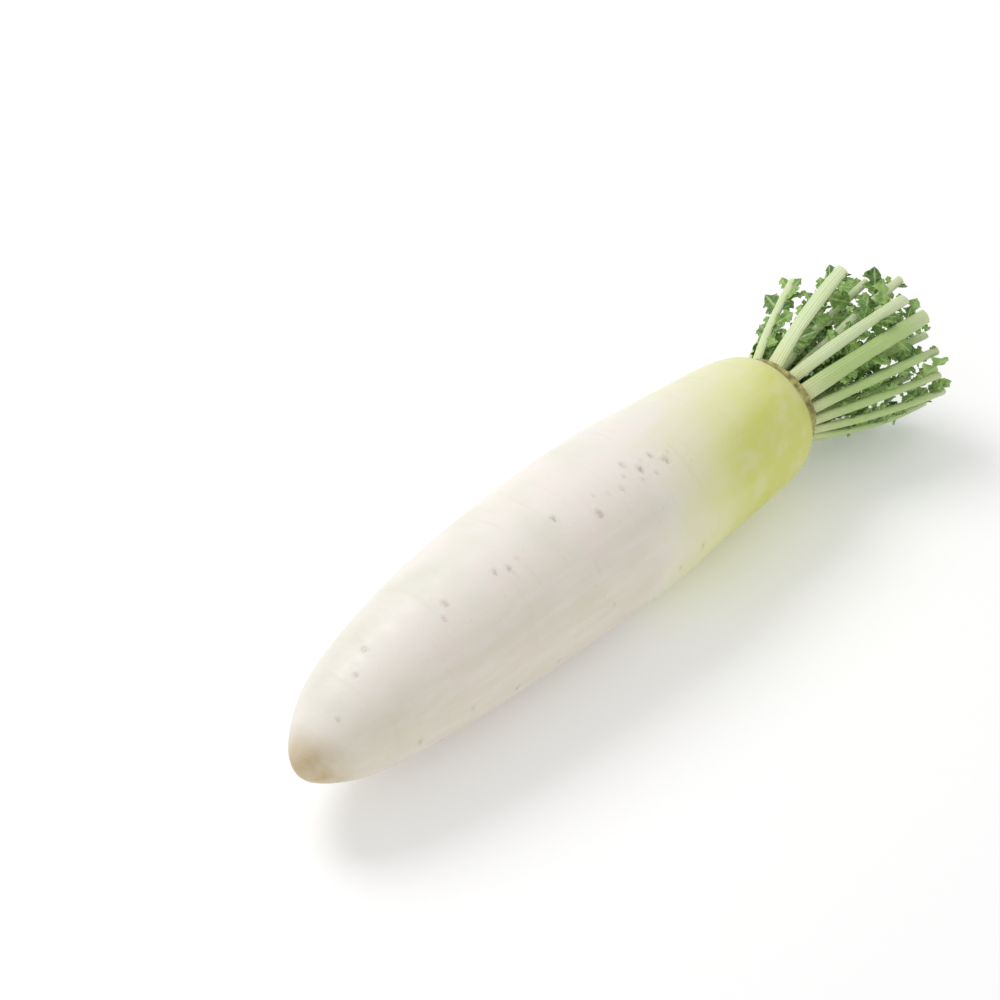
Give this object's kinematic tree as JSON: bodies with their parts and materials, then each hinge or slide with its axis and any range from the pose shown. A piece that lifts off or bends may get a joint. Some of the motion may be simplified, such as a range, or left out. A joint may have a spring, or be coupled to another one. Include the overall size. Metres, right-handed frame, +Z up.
{
  "type": "daikon radish",
  "caption": "White daikon radish with a pale green shoulder and trimmed, leafy stalks, lying on its side.",
  "frame": {"origin": "Centre of the small flat spot under the belly, on the surface the root rests on.", "axes": "+X runs from the tip of the root to the leaf stalks, +Z is up, +Y is to the left when looking along +X."},
  "size_m": [0.3813, 0.093, 0.0845],
  "materials": {
    "root_skin": "smooth, slightly waxy skin, white with a pale green shoulder",
    "leaf_stalk": "smooth pale green stalk with darker green leaflets"
  },
  "bodies": {
    "root": {"taproot": "root_skin", "leaf_stalk_01": "leaf_stalk", "leaf_stalk_02": "leaf_stalk", "leaf_stalk_03": "leaf_stalk", "leaf_stalk_04": "leaf_stalk", "leaf_stalk_05": "leaf_stalk", "leaf_stalk_06": "leaf_stalk", "leaf_stalk_07": "leaf_stalk", "leaf_stalk_08": "leaf_stalk", "leaf_stalk_09": "leaf_stalk", "leaf_stalk_10": "leaf_stalk", "leaf_stalk_11": "leaf_stalk", "leaf_stalk_12": "leaf_stalk", "leaf_stalk_13": "leaf_stalk", "leaf_stalk_14": "leaf_stalk", "leaf_stalk_15": "leaf_stalk", "leaf_stalk_16": "leaf_stalk", "leaf_stalk_17": "leaf_stalk", "leaf_stalk_18": "leaf_stalk", "leaf_stalk_19": "leaf_stalk", "leaf_stalk_20": "leaf_stalk", "leaf_stalk_21": "leaf_stalk", "leaf_stalk_22": "leaf_stalk", "leaf_stalk_23": "leaf_stalk", "leaf_stalk_24": "leaf_stalk", "leaf_stalk_25": "leaf_stalk", "leaf_stalk_26": "leaf_stalk", "leaf_stalk_27": "leaf_stalk", "leaf_stalk_28": "leaf_stalk", "leaf_stalk_29": "leaf_stalk", "leaf_stalk_30": "leaf_stalk", "leaf_stalk_31": "leaf_stalk", "leaf_stalk_32": "leaf_stalk", "leaf_stalk_33": "leaf_stalk", "leaf_stalk_34": "leaf_stalk", "leaf_stalk_35": "leaf_stalk"}
  },
  "joints": []
}
